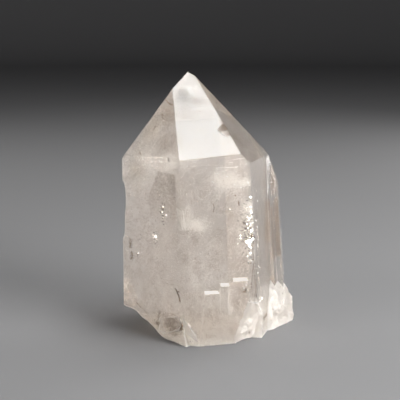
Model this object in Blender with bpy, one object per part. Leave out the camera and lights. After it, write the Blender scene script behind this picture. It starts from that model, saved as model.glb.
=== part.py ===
# A natural quartz point about 100 mm tall: one crystal, standing on its broken base.
# Six prism faces and six pyramid faces make the habit. A slim parallel side growth stands at its
# right rear, a low stepped plate lies on its front prism face, and its base and corners are chipped.
# Sizes are in millimetres in the named values below, and the model is in metres.
# Until its last step the crystal stands on z = 0 with the foot of its long axis at the origin.
# The front is towards -Y.
import math

import bmesh
import bpy
from mathutils import Euler, Matrix, Vector, noise

MM = 0.001

# How the crystal's long axis leans from the vertical, in degrees
LEAN_LEFT = 2.3
LEAN_FORWARD = 1.0

# Prism faces: the compass direction each faces (0 is the front, 90 the right), how far it tilts
# upwards, and how far it is from the middle of the base
PRISM_FACES = {
    "front": (17.5, 0.0, 27.0),
    "right": (74.0, 1.0, 27.3),
    "right_rear": (137.0, -0.5, 25.1),
    "rear": (197.0, 0.0, 26.0),
    "left_rear": (257.0, 3.0, 27.4),
    "left": (318.0, 0.0, 24.9),
}

# Pyramid faces of the tip, given in the same way: the front one is the largest
TIP_FACES = {
    "front": (16.5, 43.5, 68.8),
    "right": (76.5, 37.0, 61.2),
    "right_rear": (137.0, 38.5, 62.4),
    "rear": (197.0, 38.0, 62.3),
    "left_rear": (257.5, 37.0, 61.0),
    "left": (317.5, 33.5, 60.3),
}

# Side growth: its outline seen from above at its foot, and the steep face that ends it below the
# right shoulder. The flare draws the outline in towards the crystal, up to its top.
GROWTH_OUTLINE = [
    (20.0, -6.0), (26.2, -5.2), (28.4, -2.6), (29.4, 0.4), (31.2, 1.6), (32.6, 4.8), (35.0, 6.6),
    (35.8, 12.0), (33.0, 15.0), (31.8, 19.0), (28.0, 20.4), (24.0, 23.6), (8.0, 20.0), (4.0, 4.0),
]
GROWTH_MIDDLE = (14.0, 8.0)
GROWTH_HEIGHTS = (-6.0, 30.0, 72.0)
GROWTH_FLARE = 6.0
GROWTH_TOP_FACE = (84.0, 16.0)
GROWTH_TOP_POINT = (26.2, 5.0, 68.3)
GROWTH_TIP_SETBACK = 0.4

# Stepped plate on the front prism face: points of its top edge as millimetres across, to the right
# from the middle of the face, and up from the floor. It thins downwards, almost to nothing at the floor.
LEFT_STEPS = [(-7.0, 21.5), (-1.0, 21.2), (-0.8, 24.0), (2.5, 23.9), (3.7, 25.0)]
RIGHT_STEPS = [(2.7, 24.1), (4.1, 25.7), (9.9, 25.5), (10.8, 17.0)]
LEFT_FOOT = [(3.7, -4.0), (-8.5, -4.0)]
RIGHT_FOOT = [(8.5, -4.0), (2.7, -4.0)]
PLATE_SLOPE = 2.2
LEFT_PLATE_LIFT = 0.05
RIGHT_PLATE_LIFT = 0.17
RISER_SLOPE = 43.5

# Broken base: the crystal stands flat to the right of one edge, and overhangs to the left of it.
# The overhang's profile is the distance from that edge, and the height above the floor.
REST_EDGE = ((-3.0, -29.0), (-14.0, 26.0))
OVERHANG_PROFILE = [(0.0, -0.4), (9.0, 1.5), (14.5, 6.8), (22.0, 10.6), (50.0, 17.0)]
REAR_RIM_START = 11.0
REAR_RIM = 20.0
REAR_RIM_SLOPE = 0.42
BREAK_GRID = 2.0
BREAK_SIZE = 96.0
BREAK_ROUGHNESS = 1.1
BREAK_GRAIN = 9.0
BREAK_DEPTH = 30.0

# Small pits in the front prism face: how far across, up and outwards each is, and its radius
PITS = [
    (-2.2, 67.8, 0.1, 0.8),
    (9.1, 22.8, 1.1, 0.6),
    (8.3, 21.6, 1.1, 0.5),
    (9.8, 20.6, 1.0, 0.7),
    (6.4, 53.0, 0.1, 0.4),
    (11.6, 41.0, 0.1, 0.5),
]

# Merging distance that removes the slivers which cutting leaves
SLIVER = 0.01


def clear_scene():
    for old in list(bpy.data.objects):
        bpy.data.objects.remove(old, do_unlink=True)


def crystal_frame():
    """The rotation from the crystal's own upright frame to the way it leans."""
    lean = Euler((math.radians(LEAN_FORWARD), math.radians(-LEAN_LEFT), 0.0))
    return lean.to_matrix()


def facing(compass, rise):
    """The outward direction of a face, from its compass direction and its rise in degrees."""
    turn, lift = math.radians(compass), math.radians(rise)
    level = math.cos(lift)
    return crystal_frame() @ Vector((math.sin(turn) * level, -math.cos(turn) * level, math.sin(lift)))


def quartz_material():
    material = bpy.data.materials.new("clear_quartz")
    material.use_nodes = True
    shader = material.node_tree.nodes["Principled BSDF"]
    shader.inputs["Base Color"].default_value = (0.86, 0.83, 0.79, 1.0)
    shader.inputs["Roughness"].default_value = 0.08
    shader.inputs["Metallic"].default_value = 0.0
    shader.inputs["IOR"].default_value = 1.544
    shader.inputs["Transmission Weight"].default_value = 1.0
    return material


def new_object(name, bm, material=None):
    mesh = bpy.data.meshes.new(name)
    bmesh.ops.recalc_face_normals(bm, faces=bm.faces)
    bm.to_mesh(mesh)
    bm.free()
    piece = bpy.data.objects.new(name, mesh)
    bpy.context.scene.collection.objects.link(piece)
    if material:
        mesh.materials.append(material)
    return piece


def slice_off(bm, point, outward):
    """Cut away all that lies beyond a plane, and close the cut with a flat face."""
    everything = bm.verts[:] + bm.edges[:] + bm.faces[:]
    bmesh.ops.bisect_plane(bm, geom=everything, plane_co=point, plane_no=outward, clear_outer=True)
    rim = [edge for edge in bm.edges if edge.is_boundary]
    bmesh.ops.holes_fill(bm, edges=rim)


def hull(points):
    """The smallest convex solid around some points, given in millimetres."""
    bm = bmesh.new()
    for point in points:
        bm.verts.new(Vector(point) * MM)
    made = bmesh.ops.convex_hull(bm, input=bm.verts)
    spare = [item for item in made["geom_interior"] if isinstance(item, bmesh.types.BMVert)]
    bmesh.ops.delete(bm, geom=spare, context="VERTS")
    return bm


def shell_like(point, grain):
    """Broken quartz: scooped hollows between sharp ridges, from about -1 to 1."""
    place = point / grain
    hollows = noise.voronoi(place)[0][0] * 2.0 - 0.9
    return 0.6 * hollows + 0.7 * noise.fractal(place * 1.7, 0.9, 2.0, 3)


def roughen(bm, edge_length, amount, grain, seed):
    """Split long edges, then push the surface in and out as broken quartz is."""
    for _ in range(3):
        long_edges = [edge for edge in bm.edges if edge.calc_length() > 1.5 * edge_length * MM]
        if not long_edges:
            break
        bmesh.ops.subdivide_edges(bm, edges=long_edges, cuts=1, use_grid_fill=True)
        bmesh.ops.triangulate(bm, faces=bm.faces)
    bm.normal_update()
    offset = Vector((7.3, 3.1, 1.7)) * seed
    moves = [vert.normal * shell_like(vert.co / MM + offset, grain) for vert in bm.verts]
    for vert, move in zip(bm.verts, moves):
        vert.co += move * amount * MM


def habit_block():
    """Six prism faces and six pyramid faces, reaching a little below the floor."""
    bm = bmesh.new()
    bmesh.ops.create_cube(bm, size=260.0 * MM)
    slice_off(bm, Vector((0.0, 0.0, GROWTH_HEIGHTS[0] * MM)), Vector((0.0, 0.0, -1.0)))
    for faces in (PRISM_FACES, TIP_FACES):
        for compass, rise, distance in faces.values():
            outward = facing(compass, rise)
            slice_off(bm, outward * distance * MM, outward)
    return bm


def stack_rings(bm, rings):
    """Close a stack of equal rings into a solid."""
    bm.faces.new(rings[0])
    bm.faces.new(rings[-1])
    count = len(rings[0])
    for lower, upper in zip(rings, rings[1:]):
        for i in range(count):
            j = (i + 1) % count
            bm.faces.new((lower[i], lower[j], upper[j], upper[i]))
    bmesh.ops.recalc_face_normals(bm, faces=bm.faces)


def side_growth():
    """The slim parallel growth: a ribbed outline that flares downwards, with a steep top."""
    bm = bmesh.new()
    foot, top = GROWTH_HEIGHTS[0], GROWTH_HEIGHTS[-1]
    middle = Vector(GROWTH_MIDDLE)
    rings = []
    for height in GROWTH_HEIGHTS:
        drawn_in = GROWTH_FLARE * (height - foot) / (top - foot)
        ring = []
        for point in GROWTH_OUTLINE:
            away = (Vector(point) - middle).normalized()
            flat = Vector(point) - away * drawn_in
            ring.append(bm.verts.new(Vector((flat.x, flat.y, height)) * MM))
        rings.append(ring)
    stack_rings(bm, rings)
    slice_off(bm, Vector(GROWTH_TOP_POINT) * MM, facing(*GROWTH_TOP_FACE))
    for name in ("right", "right_rear"):
        compass, rise, distance = TIP_FACES[name]
        outward = facing(compass, rise)
        slice_off(bm, outward * (distance - GROWTH_TIP_SETBACK) * MM, outward)
    return bm


def broken_foot():
    """The lumpy broken mass at the foot of the side growth."""
    bm = hull([
        (21.0, -10.0, -4.0), (28.5, -6.0, -4.0), (32.0, -0.5, -4.0), (36.0, 6.0, -4.0),
        (37.2, 14.0, -4.0), (32.0, 22.0, -4.0), (10.0, 24.0, -4.0), (10.0, 0.0, -4.0),
        (37.4, 8.5, 3.5), (37.0, 12.0, 8.5), (33.6, 3.0, 5.0), (35.2, 9.0, 12.8),
        (29.0, -3.5, 7.0), (24.0, -7.0, 9.0), (30.0, 18.0, 14.0), (16.0, 18.0, 20.0),
        (28.0, 2.0, 20.0), (30.8, 8.0, 19.5),
    ])
    roughen(bm, 2.3, 0.8, 7.0, 4)
    return bm


def face_frame(compass, rise, distance):
    """A face's own frame: X across it to the right, Y up it, Z outwards, origin on the floor."""
    outward = facing(compass, rise)
    across = Vector((0.0, 0.0, 1.0)).cross(outward).normalized()
    up = outward.cross(across).normalized()
    base = outward * distance * MM
    frame = Matrix((across, up, outward)).transposed().to_4x4()
    frame.translation = base - up * (base.z / up.z)
    return frame


def plate(steps, foot, extra_lift):
    """A low plate on the front prism face, whose upper edges slope back as the pyramid face does."""
    bm = bmesh.new()
    rise = math.tan(math.radians(PLATE_SLOPE))
    foot_height = foot[0][1]
    under, over = [], []
    for across, up in steps + foot:
        lift = (up - foot_height) * rise + extra_lift
        back = lift / math.tan(math.radians(RISER_SLOPE)) if up > foot_height else 0.0
        over.append(bm.verts.new(Vector((across, up - back, lift - back * rise)) * MM))
        under.append(bm.verts.new(Vector((across, up + back, -lift - 0.3)) * MM))
    stack_rings(bm, [under, over])
    bmesh.ops.triangulate(bm, faces=bm.faces)
    bm.transform(face_frame(*PRISM_FACES["front"]))
    return bm


def stepped_plates():
    """Two plates side by side, the right one a little thicker, so that a fine upright edge shows."""
    return {
        "left_plate": plate(LEFT_STEPS, LEFT_FOOT, LEFT_PLATE_LIFT),
        "right_plate": plate(RIGHT_STEPS, RIGHT_FOOT, RIGHT_PLATE_LIFT),
    }


def beyond_rest_edge(across, back):
    """How far a point of the base lies to the left of the edge that the crystal stands on."""
    start, end = (Vector(point) for point in REST_EDGE)
    along = (end - start).normalized()
    offset = Vector((across, back)) - start
    return along.x * offset.y - along.y * offset.x


def along_profile(profile, where):
    """A height read from a profile of straight stretches."""
    for (start, low), (end, high) in zip(profile, profile[1:]):
        if where <= end:
            return low + (high - low) * (where - start) / (end - start)
    return profile[-1][1]


def break_height(across, back):
    """The height of the broken underside above the floor; below zero, the crystal stands flat."""
    place = Vector((across, back, 3.0))
    rough = shell_like(place, BREAK_GRAIN) * BREAK_ROUGHNESS
    left = beyond_rest_edge(across, back)
    if left > 0.0:
        return along_profile(OVERHANG_PROFILE, left) + rough * min(1.0, left / 9.0)
    rearward = min(1.0, max(0.0, (back - REAR_RIM_START) / 10.0))
    rim = max(0.0, place.xy.length - REAR_RIM) * REAR_RIM_SLOPE
    return -0.8 + rearward * (rim + rough)


def base_break():
    """All that is missing under the crystal: a block whose top is the broken surface."""
    bm = bmesh.new()
    count = int(BREAK_SIZE / BREAK_GRID)
    bmesh.ops.create_grid(bm, x_segments=count, y_segments=count, size=BREAK_SIZE / 2.0 * MM)
    for vert in bm.verts:
        vert.co.z = break_height(vert.co.x / MM, vert.co.y / MM) * MM
    top = bm.faces[:]
    rim = [edge for edge in bm.edges if edge.is_boundary]
    walls = bmesh.ops.extrude_edge_only(bm, edges=rim)["geom"]
    for vert in (item for item in walls if isinstance(item, bmesh.types.BMVert)):
        vert.co.z = -BREAK_DEPTH * MM
    bottom_rim = [edge for edge in bm.edges if edge.is_boundary]
    bmesh.ops.holes_fill(bm, edges=bottom_rim)
    bmesh.ops.triangulate(bm, faces=top)
    return bm


def recess(outline, outward, reach):
    """A chip with a flat bottom: the outline of its bottom, carried outwards through the face."""
    shifted = [Vector(point) + outward * reach for point in outline]
    return hull(list(outline) + shifted)


def left_edge_chip():
    """The long shallow chip in the left edge, abrupt at its top."""
    bm = hull([
        (-34.0, -20.0, 61.0), (-28.6, -14.5, 60.2), (-28.2, -9.6, 57.5), (-27.9, -9.2, 50.0),
        (-28.9, -9.0, 38.0), (-34.0, -20.0, 34.0), (-34.0, 4.0, 34.0), (-34.0, 4.0, 61.0),
        (-29.6, 0.5, 58.0), (-29.4, 1.5, 44.0),
    ])
    roughen(bm, 3.0, 0.35, 7.0, 11)
    return bm


def tip_edge_chip():
    """The small bite in the right edge of the front pyramid face."""
    return hull([
        (6.3, -18.6, 83.2), (6.9, -17.2, 80.6), (6.4, -17.6, 79.0), (9.6, -19.8, 77.4),
        (12.5, -20.5, 79.0), (10.0, -14.5, 84.5), (12.0, -16.0, 80.0),
    ])


def front_foot_chip():
    """The flat recess low on the left prism face."""
    outline = [
        (-15.2, -19.6, 8.7), (-7.5, -26.3, 10.9), (-6.0, -27.0, 7.7), (-7.1, -25.8, 5.6),
        (-12.7, -20.4, 2.9), (-15.3, -18.8, 3.6),
    ]
    return recess(outline, facing(318.0, 4.0), 5.0)


def front_corner_chip():
    """The three-cornered chip at the foot of the front edge."""
    return hull([
        (-7.0, -33.0, 13.0), (-6.3, -28.4, 11.2), (-3.6, -28.4, 7.5), (0.6, -28.8, 1.0),
        (-4.0, -27.4, -2.0), (-5.6, -27.6, 5.0), (-2.0, -36.0, -2.0), (-9.0, -36.0, 6.0),
    ])


def right_corner_chip():
    """The broken lower right front corner."""
    bm = hull([
        (17.6, -24.0, 16.0), (13.0, -24.8, 2.0), (13.6, -21.4, -3.0), (17.5, -18.2, -3.0),
        (21.0, -15.0, 2.0), (22.8, -13.0, 8.0), (20.2, -20.4, 15.5), (17.8, -20.6, 5.0),
        (17.0, -36.0, -3.0), (17.0, -36.0, 15.0), (34.0, -22.0, -3.0), (34.0, -22.0, 10.0),
    ])
    roughen(bm, 2.2, 0.6, 5.0, 21)
    return bm


def rear_corner_chip():
    """A broken lower corner at the left rear."""
    bm = hull([
        (-26.0, 20.0, 19.0), (-17.0, 24.0, 17.0), (-25.5, 10.0, 12.0), (-12.0, 25.0, 7.0),
        (-24.0, 12.0, 4.0), (-20.0, 40.0, 22.0), (-40.0, 26.0, 22.0), (-40.0, 14.0, 4.0),
        (-14.0, 40.0, 4.0), (-20.0, 19.5, 10.0),
    ])
    roughen(bm, 2.8, 0.7, 7.0, 31)
    return bm


def rear_edge_chip():
    """A shallow bite in the rear edge, halfway up."""
    bm = hull([
        (9.0, 26.2, 52.0), (11.0, 24.2, 46.0), (10.4, 24.6, 37.0), (8.0, 26.4, 33.0),
        (14.0, 32.0, 55.0), (14.0, 32.0, 30.0), (5.0, 36.0, 42.0), (18.0, 25.0, 42.0),
    ])
    roughen(bm, 3.0, 0.35, 6.0, 41)
    return bm


def pit(across, up, outwards, radius):
    bm = bmesh.new()
    bmesh.ops.create_icosphere(bm, subdivisions=1, radius=radius * MM)
    bmesh.ops.translate(bm, verts=bm.verts, vec=Vector((across, up, outwards)) * MM)
    bm.transform(face_frame(*PRISM_FACES["front"]))
    return bm


def additions():
    return {
        "side_growth": side_growth(),
        "broken_foot": broken_foot(),
        **stepped_plates(),
    }


def cutters():
    cuts = {
        "base_break": base_break(),
        "left_edge_chip": left_edge_chip(),
        "tip_edge_chip": tip_edge_chip(),
        "front_foot_chip": front_foot_chip(),
        "front_corner_chip": front_corner_chip(),
        "right_corner_chip": right_corner_chip(),
        "rear_corner_chip": rear_corner_chip(),
        "rear_edge_chip": rear_edge_chip(),
    }
    for i, place in enumerate(PITS):
        cuts[f"pit_{i + 1}"] = pit(*place)
    return cuts


def add_boolean(target, other, operation):
    other.hide_render = True
    other.display_type = "WIRE"
    step = target.modifiers.new(other.name, "BOOLEAN")
    step.operation = operation
    step.solver = "EXACT"
    step.object = other


def evaluated_copy(source):
    """The mesh that an object's modifiers make."""
    bpy.context.view_layer.update()
    graph = bpy.context.evaluated_depsgraph_get()
    return bpy.data.meshes.new_from_object(source.evaluated_get(graph))


def drop_loose_bits(bm):
    """Keep the crystal itself, and let what the cuts have parted from it fall away."""
    unseen = set(bm.verts)
    bodies = []
    while unseen:
        edge_of_body = [unseen.pop()]
        body = set(edge_of_body)
        while edge_of_body:
            vert = edge_of_body.pop()
            near = {edge.other_vert(vert) for edge in vert.link_edges} & unseen
            unseen -= near
            body |= near
            edge_of_body.extend(near)
        bodies.append(body)
    bodies.sort(key=len)
    for body in bodies[:-1]:
        bmesh.ops.delete(bm, geom=list(body), context="VERTS")


def stand_on_floor(bm):
    """Flatten what the crystal stands on, and put the middle of its foot at the origin."""
    slice_off(bm, Vector((0.0, 0.0, 0.0)), Vector((0.0, 0.0, -1.0)))
    xs = [vert.co.x for vert in bm.verts]
    ys = [vert.co.y for vert in bm.verts]
    middle = Vector(((min(xs) + max(xs)) / 2.0, (min(ys) + max(ys)) / 2.0, 0.0))
    bmesh.ops.translate(bm, verts=bm.verts, vec=-middle)
    print("foot of the long axis, in millimetres:", [round(-value / MM, 3) for value in middle])


def quartz_point():
    rough = new_object("rough_crystal", habit_block())
    helpers = []
    for operation, shapes in (("UNION", additions()), ("DIFFERENCE", cutters())):
        for name, bm in shapes.items():
            helpers.append(new_object(name, bm))
            add_boolean(rough, helpers[-1], operation)
    bm = bmesh.new()
    bm.from_mesh(evaluated_copy(rough))
    stand_on_floor(bm)
    drop_loose_bits(bm)
    bmesh.ops.dissolve_degenerate(bm, dist=SLIVER * MM, edges=bm.edges)
    bmesh.ops.triangulate(bm, faces=bm.faces)
    for helper in helpers + [rough]:
        bpy.data.objects.remove(helper, do_unlink=True)
    return new_object("quartz_point", bm, quartz_material())


def main():
    clear_scene()
    point = quartz_point()
    print("triangles:", len(point.data.polygons))


main()
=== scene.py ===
# The looks of a natural quartz point: its clear shell with broken foot, and the milky veils inside it.
# Sizes in the named values are millimetres, and the model is in metres.
import math

import bmesh
import bpy
import numpy as np
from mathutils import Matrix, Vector, noise
from mathutils.bvhtree import BVHTree


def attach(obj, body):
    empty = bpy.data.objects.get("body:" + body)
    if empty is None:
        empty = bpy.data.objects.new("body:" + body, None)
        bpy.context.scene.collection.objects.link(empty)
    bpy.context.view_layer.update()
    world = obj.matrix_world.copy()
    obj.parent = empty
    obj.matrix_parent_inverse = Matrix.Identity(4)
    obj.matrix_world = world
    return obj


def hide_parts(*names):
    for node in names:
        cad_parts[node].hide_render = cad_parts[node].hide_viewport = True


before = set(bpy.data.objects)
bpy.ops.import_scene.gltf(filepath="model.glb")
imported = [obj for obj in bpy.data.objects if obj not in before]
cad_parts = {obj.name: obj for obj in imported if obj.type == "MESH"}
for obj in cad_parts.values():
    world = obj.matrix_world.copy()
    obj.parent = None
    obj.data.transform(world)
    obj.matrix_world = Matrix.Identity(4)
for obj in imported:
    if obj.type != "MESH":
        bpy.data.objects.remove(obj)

MM = 0.001
NODE = "quartz_point"
# Points nearer than this, in metres, are one point
MERGE_DISTANCE = 1e-6

# The seeds of all that is scattered by chance
SEEDS = {
    "milky_clouds": 11,
    "crack_glints": 12,
    "crushed_quartz": 13,
    "bubble_veils": 14,
    "milky_curtain": 15,
    "smoky_curtain": 15,
    "mineral_stains": 16,
    "edge_nicks": 17,
    "window_and_wedge": 18,
    "dark_specks": 19,
    "pale_clouds": 20,
    "smoky_clouds": 21,
    "smoky_streaks": 22,
    "white_strokes": 23,
    "foot_stains": 24,
}

# The camera looks at the middle of the crystal from the front, a little from above
CAMERA_AIM = (-4.2, 1.0, 50.6)
CAMERA_DISTANCE = 433.0
CAMERA_ELEVATION = 10.0
LENS = 100.0
SENSOR = 36.0
NEAREST, FARTHEST = 0.01, 20.0

# Softboxes: the point each is centred on, its width and height, its radiance and its colour
WHITE = (1.0, 1.0, 1.0)
COOL_WHITE = (0.94, 0.985, 1.0)
SOFTBOXES = {
    "softbox_overhead": ((150.0, 260.0, 820.0), (520.0, 420.0), 3.0, WHITE),
    "softbox_top": ((186.0, -96.0, 640.0), (240.0, 240.0), 6.6, COOL_WHITE),
    "softbox_key": ((640.0, -440.0, 190.0), (420.0, 300.0), 12.0, WHITE),
    "softbox_front_right": ((560.0, -560.0, 210.0), (420.0, 420.0), 13.5, WHITE),
    "softbox_front_left": ((-560.0, -400.0, 380.0), (300.0, 400.0), 3.1, WHITE),
    "softbox_rear_right": ((560.0, 520.0, 170.0), (340.0, 340.0), 5.5, WHITE),
    "softbox_rear_left": ((-600.0, 480.0, 170.0), (300.0, 300.0), 3.4, WHITE),
}
SOFTBOX_AIM = (0.0, 0.0, 55.0)
# The watts that give a softbox of one square metre a radiance of one
RADIANCE_WATTS = 4.0
WORLD_LIGHT = (0.05, 0.05, 0.053)

# Floor: a disc whose rim sweeps up into a low wall
FLOOR_RADIUS = 1900.0
SWEEP_RADIUS = 600.0
WALL_HEIGHT = 1500.0
FLOOR_COLOUR = (0.21, 0.207, 0.209)
FLOOR_ROUGHNESS = 0.75
# How many steps the disc and its sweep are made in
FLOOR_STEPS = 96
SWEEP_STEPS = 12

# Quartz: its index of refraction, its tint and how soon the tint shows
QUARTZ_IOR = 1.544
QUARTZ_TINT = (0.95, 0.865, 0.785, 1.0)
TINT_DENSITY = 16.0

# Shell: flat faces over this area are natural growth, unless they look down, and the rest is broken
NATURAL_AREA = 12.0
LOOKS_DOWN = -0.5
# The front plates' risers and upright edges are smooth too, and so is the chip in the ridge: where
# the middles of such small faces lie, from and to along X, Y and Z, and their least area
SMOOTH_ZONES = [
    ((-6.0, 15.0), (-30.0, -21.0), (17.0, 27.0)),
    ((-6.0, 8.5), (-30.0, -21.0), (6.0, 17.0)),
    ((2.0, 9.0), (-21.0, -7.0), (76.0, 87.0)),
]
SMOOTH_AREA = 0.3
# Faces that differ by less than this many degrees lie in one plane
FLAT_ANGLE = 0.6

# Broken surfaces: the edge length they are divided to, how many times that is still left whole, and
# the most rounds of dividing
BREAK_EDGE = 0.8
BREAK_STRETCH = 1.4
BREAK_ROUNDS = 4
# How far the hollows and the fine grain stand out and how wide they are, and the hollows' own range
BREAK_COARSE = (0.22, 3.2)
BREAK_FINE = (0.07, 1.1)
HOLLOW_RANGE, HOLLOW_LEVEL = 2.0, 0.9
# Directions closer than this are alike, and points below this height stay on the floor
ALIKE = 0.99
CONTACT_HEIGHT = 0.05

# Edges between natural faces: the width of their rounding, and the least angle that is rounded
EDGE_ROUNDING = 0.16
EDGE_ANGLE = 6.0
# Edges in a break are crisp from this angle on
SHARP_ANGLE = 42.0

# Haze that fills the crystal, just inside its surface: its colour, its density, how much of the light
# goes on forwards, and its inset
HAZE_COLOUR = (0.99, 0.978, 0.958, 1.0)
HAZE_DENSITY = 20.0
HAZE_FORWARD = 0.4
HAZE_INSET = 0.06

# A place well in front of the crystal, where the search for its front surface starts, and the step
# that takes a search past a surface
IN_FRONT = -80.0
PAST_SURFACE = 0.001

# Flakes and grains: how their sizes vary, and how flat each kind is
SIZE_RANGE = (0.6, 1.4)
FLAKE_FLATNESS = 0.5
GRAIN_FLATNESS = 0.6

# Milky clouds of tiny bubbles: the middle of each, its spread along X, Y and Z, its number of flakes
# and their size
CLOUDS = [
    ((5.6, -21.6, 61.4), (3.0, 0.6, 2.0), 8000, 0.13),
    ((11.5, -20.2, 61.0), (1.6, 0.5, 1.0), 2600, 0.13),
    ((-5.9, -26.4, 46.0), (2.8, 0.6, 1.5), 8000, 0.12),
    ((-8.8, -27.0, 50.0), (1.2, 0.5, 2.2), 2600, 0.11),
    ((1.0, -23.0, 63.0), (2.0, 0.6, 1.6), 1600, 0.12),
    ((-22.5, -8.2, 80.6), (2.6, 0.9, 2.8), 7000, 0.16),
    ((-27.5, -10.4, 64.0), (3.6, 0.8, 3.8), 9500, 0.15),
    ((-14.0, -21.5, 68.5), (2.6, 0.8, 1.4), 3500, 0.12),
    ((-7.8, -5.0, 93.6), (1.5, 0.7, 1.6), 1100, 0.12),
    ((-6.0, -8.0, 70.0), (5.0, 3.0, 3.0), 2500, 0.13),
    ((13.8, -19.2, 42.0), (1.9, 0.5, 6.0), 12000, 0.13),
    ((13.2, -19.6, 50.5), (1.1, 0.7, 1.6), 1800, 0.12),
    ((17.4, -14.8, 34.0), (0.7, 0.9, 9.0), 3500, 0.10),
]
# Paler clouds in the foot, the lower front and the left pyramid face
PALE_CLOUDS = [
    ((23.0, -8.0, 13.0), (3.6, 4.2, 5.4), 12000, 0.17),
    ((16.5, -15.5, 7.5), (3.2, 2.6, 4.2), 7000, 0.17),
    ((-2.0, 2.0, 7.0), (9.0, 9.0, 4.0), 5000, 0.24),
    ((-12.0, -24.0, 6.5), (2.4, 1.2, 2.4), 2500, 0.13),
    ((0.0, -24.5, 26.0), (9.0, 1.2, 9.0), 17000, 0.12),
    ((-22.8, -11.0, 79.4), (3.2, 0.8, 3.8), 13000, 0.16),
    ((-26.0, -11.5, 66.0), (4.5, 0.8, 3.0), 6000, 0.13),
]
# Smoky clouds, which dull the tip, the chip in the ridge and parts of the pyramid faces
SMOKY_CLOUDS = [
    ((-10.8, -6.8, 92.2), (1.0, 0.8, 2.4), 5600, 0.14),
    ((-5.4, -8.6, 90.2), (2.6, 0.7, 1.0), 4600, 0.13),
    ((-9.8, -12.0, 85.6), (2.2, 0.7, 2.2), 1600, 0.12),
    ((4.9, -14.0, 80.7), (0.8, 0.7, 1.0), 1000, 0.12),
    ((4.0, -13.2, 82.2), (0.5, 0.5, 0.8), 500, 0.12),
    ((6.2, -15.8, 78.4), (0.7, 0.5, 0.8), 700, 0.12),
    ((5.9, 3.5, 84.1), (1.5, 1.5, 4.0), 2500, 0.12),
    ((8.5, -11.0, 76.4), (2.0, 1.5, 2.4), 1200, 0.12),
    ((-15.6, -10.4, 82.4), (2.2, 1.2, 3.4), 3400, 0.12),
    ((-14.6, -17.0, 74.4), (2.2, 0.9, 2.0), 1800, 0.12),
]
# The width of the lumps in a cloud, how its flakes thin out between them, and their least depth
CLOUD_LUMPS = 3.0
CLOUD_EDGE = (-0.9, 0.3)
CLOUD_LEAST_DEPTH = 0.4

# Veils, healed cracks lined with tiny bubbles: the middle of each, the way it faces, its half sizes,
# its bend and its number of flakes
VEILS = [
    ((-4.0, -10.0, 57.0), (0.4, -0.7, 0.5), (15.0, 12.0), 3.0, 9000),
    ((-12.0, -10.0, 36.0), (-0.3, -0.8, 0.4), (13.0, 15.0), 4.0, 9000),
    ((4.0, -8.0, 26.0), (0.5, -0.8, 0.1), (11.0, 15.0), 3.0, 8000),
    ((2.0, 6.0, 60.0), (-0.5, 0.6, 0.5), (14.0, 16.0), 4.0, 8000),
    ((-18.0, 0.0, 70.0), (-0.8, -0.2, 0.4), (9.0, 12.0), 2.0, 5000),
    ((24.5, 2.0, 42.0), (0.9, -0.3, 0.1), (5.0, 16.0), 1.0, 3000),
]
VEIL_SIZE = 0.13
VEIL_WAVES = 2.0
VEIL_LEAST_DEPTH = 0.5
# The lace in a veil: the width of its cells, of their borders and of the patches that hold it, and
# how it thins out between the patches
LACE_CELL = 2.4
LACE_WIDTH = 0.3
LACE_PATCH = 6.0
LACE_EDGE = (-0.5, 0.3)

# Curtains, layers behind the front faces: from and to across, where they begin, over what height
# they fade out at the top, how their flakes thin out between patches, and the least depth
CURTAIN_ACROSS = (-34.0, 22.0)
CURTAIN_FOOT = 3.0
CURTAIN_FADE = 22.0
CURTAIN_EDGE = (-0.1, 0.7)
CURTAIN_LEAST_DEPTH = 0.5
# For each curtain, how many flakes are tried, their size, their depth, the width of the patches, how
# much it thickens for each millimetre to the right, and how far up it reaches
MILKY_CURTAIN = (96000, 0.13, (2.4, 3.4), 6.0, 0.006, 110.0)
SMOKY_CURTAIN = (94000, 0.11, (1.2, 2.4), 4.5, -0.011, 74.0)
# The darker window in the curtains, whose greyish flakes are painted shade, and the bright wedge
# beside it, whose white flakes are a painted highlight of a crack that reflects light, as corners
# across and up; how many flakes are tried in each, their sizes and depth, and the heights that the
# window fades between
WINDOW = [
    (-19.2, 65.2), (-12.8, 64.6), (-12.1, 50.1), (-14.0, 44.0),
    (-21.0, 45.0), (-23.2, 53.6), (-22.0, 57.6),
]
WINDOW_FLAKE, WEDGE_FLAKE = 0.11, 0.13
WINDOW_DEPTH = 2.4
WINDOW_FADE = (44.0, 60.0)
WINDOW_TRIES = 13500
WEDGE = [(-12.2, 52.7), (-10.4, 51.5), (-9.6, 43.8), (-12.1, 50.1)]
WEDGE_TRIES = 10000

# Dark specks just inside the natural faces, all round
SPECKS = 700
SPECK_GRAIN = (0.07, 0.22)
SPECK_DEPTH = (0.3, 1.6)
SPECK_LEAST_DEPTH = 0.25

# Crushed quartz at the broken surfaces: its grains for each square millimetre under the foot and on
# the sides, its thicker spots, each a place, a reach and so many grains more, the depth and size of
# the grains, and how they thin out between lumps
CRUSHED_BASE = 14.0
CRUSHED_SIDE = 0.8
CRUSHED_SPOTS = [((26.0, -4.0, 10.0), 12.0, 20.0), ((15.0, -18.0, 4.0), 6.0, 12.0)]
CRUSHED_DEPTH = (-0.02, 0.5)
CRUSHED_GRAIN = (0.14, 0.34)
CRUSHED_EDGE = (-0.6, 0.3)

# Nicks along the longer and sharper edges: the least length and angle, how many for each millimetre,
# their size, how far they stray, and the patches that they lie in
NICK_EDGE = 4.0
NICK_ANGLE = 20.0
NICKS = 5.0
NICK_GRAIN = (0.05, 0.13)
NICK_STRAY = 0.06
NICK_PATCH = 2.5
NICK_PATCH_EDGE = (-0.4, 0.8)

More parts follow.
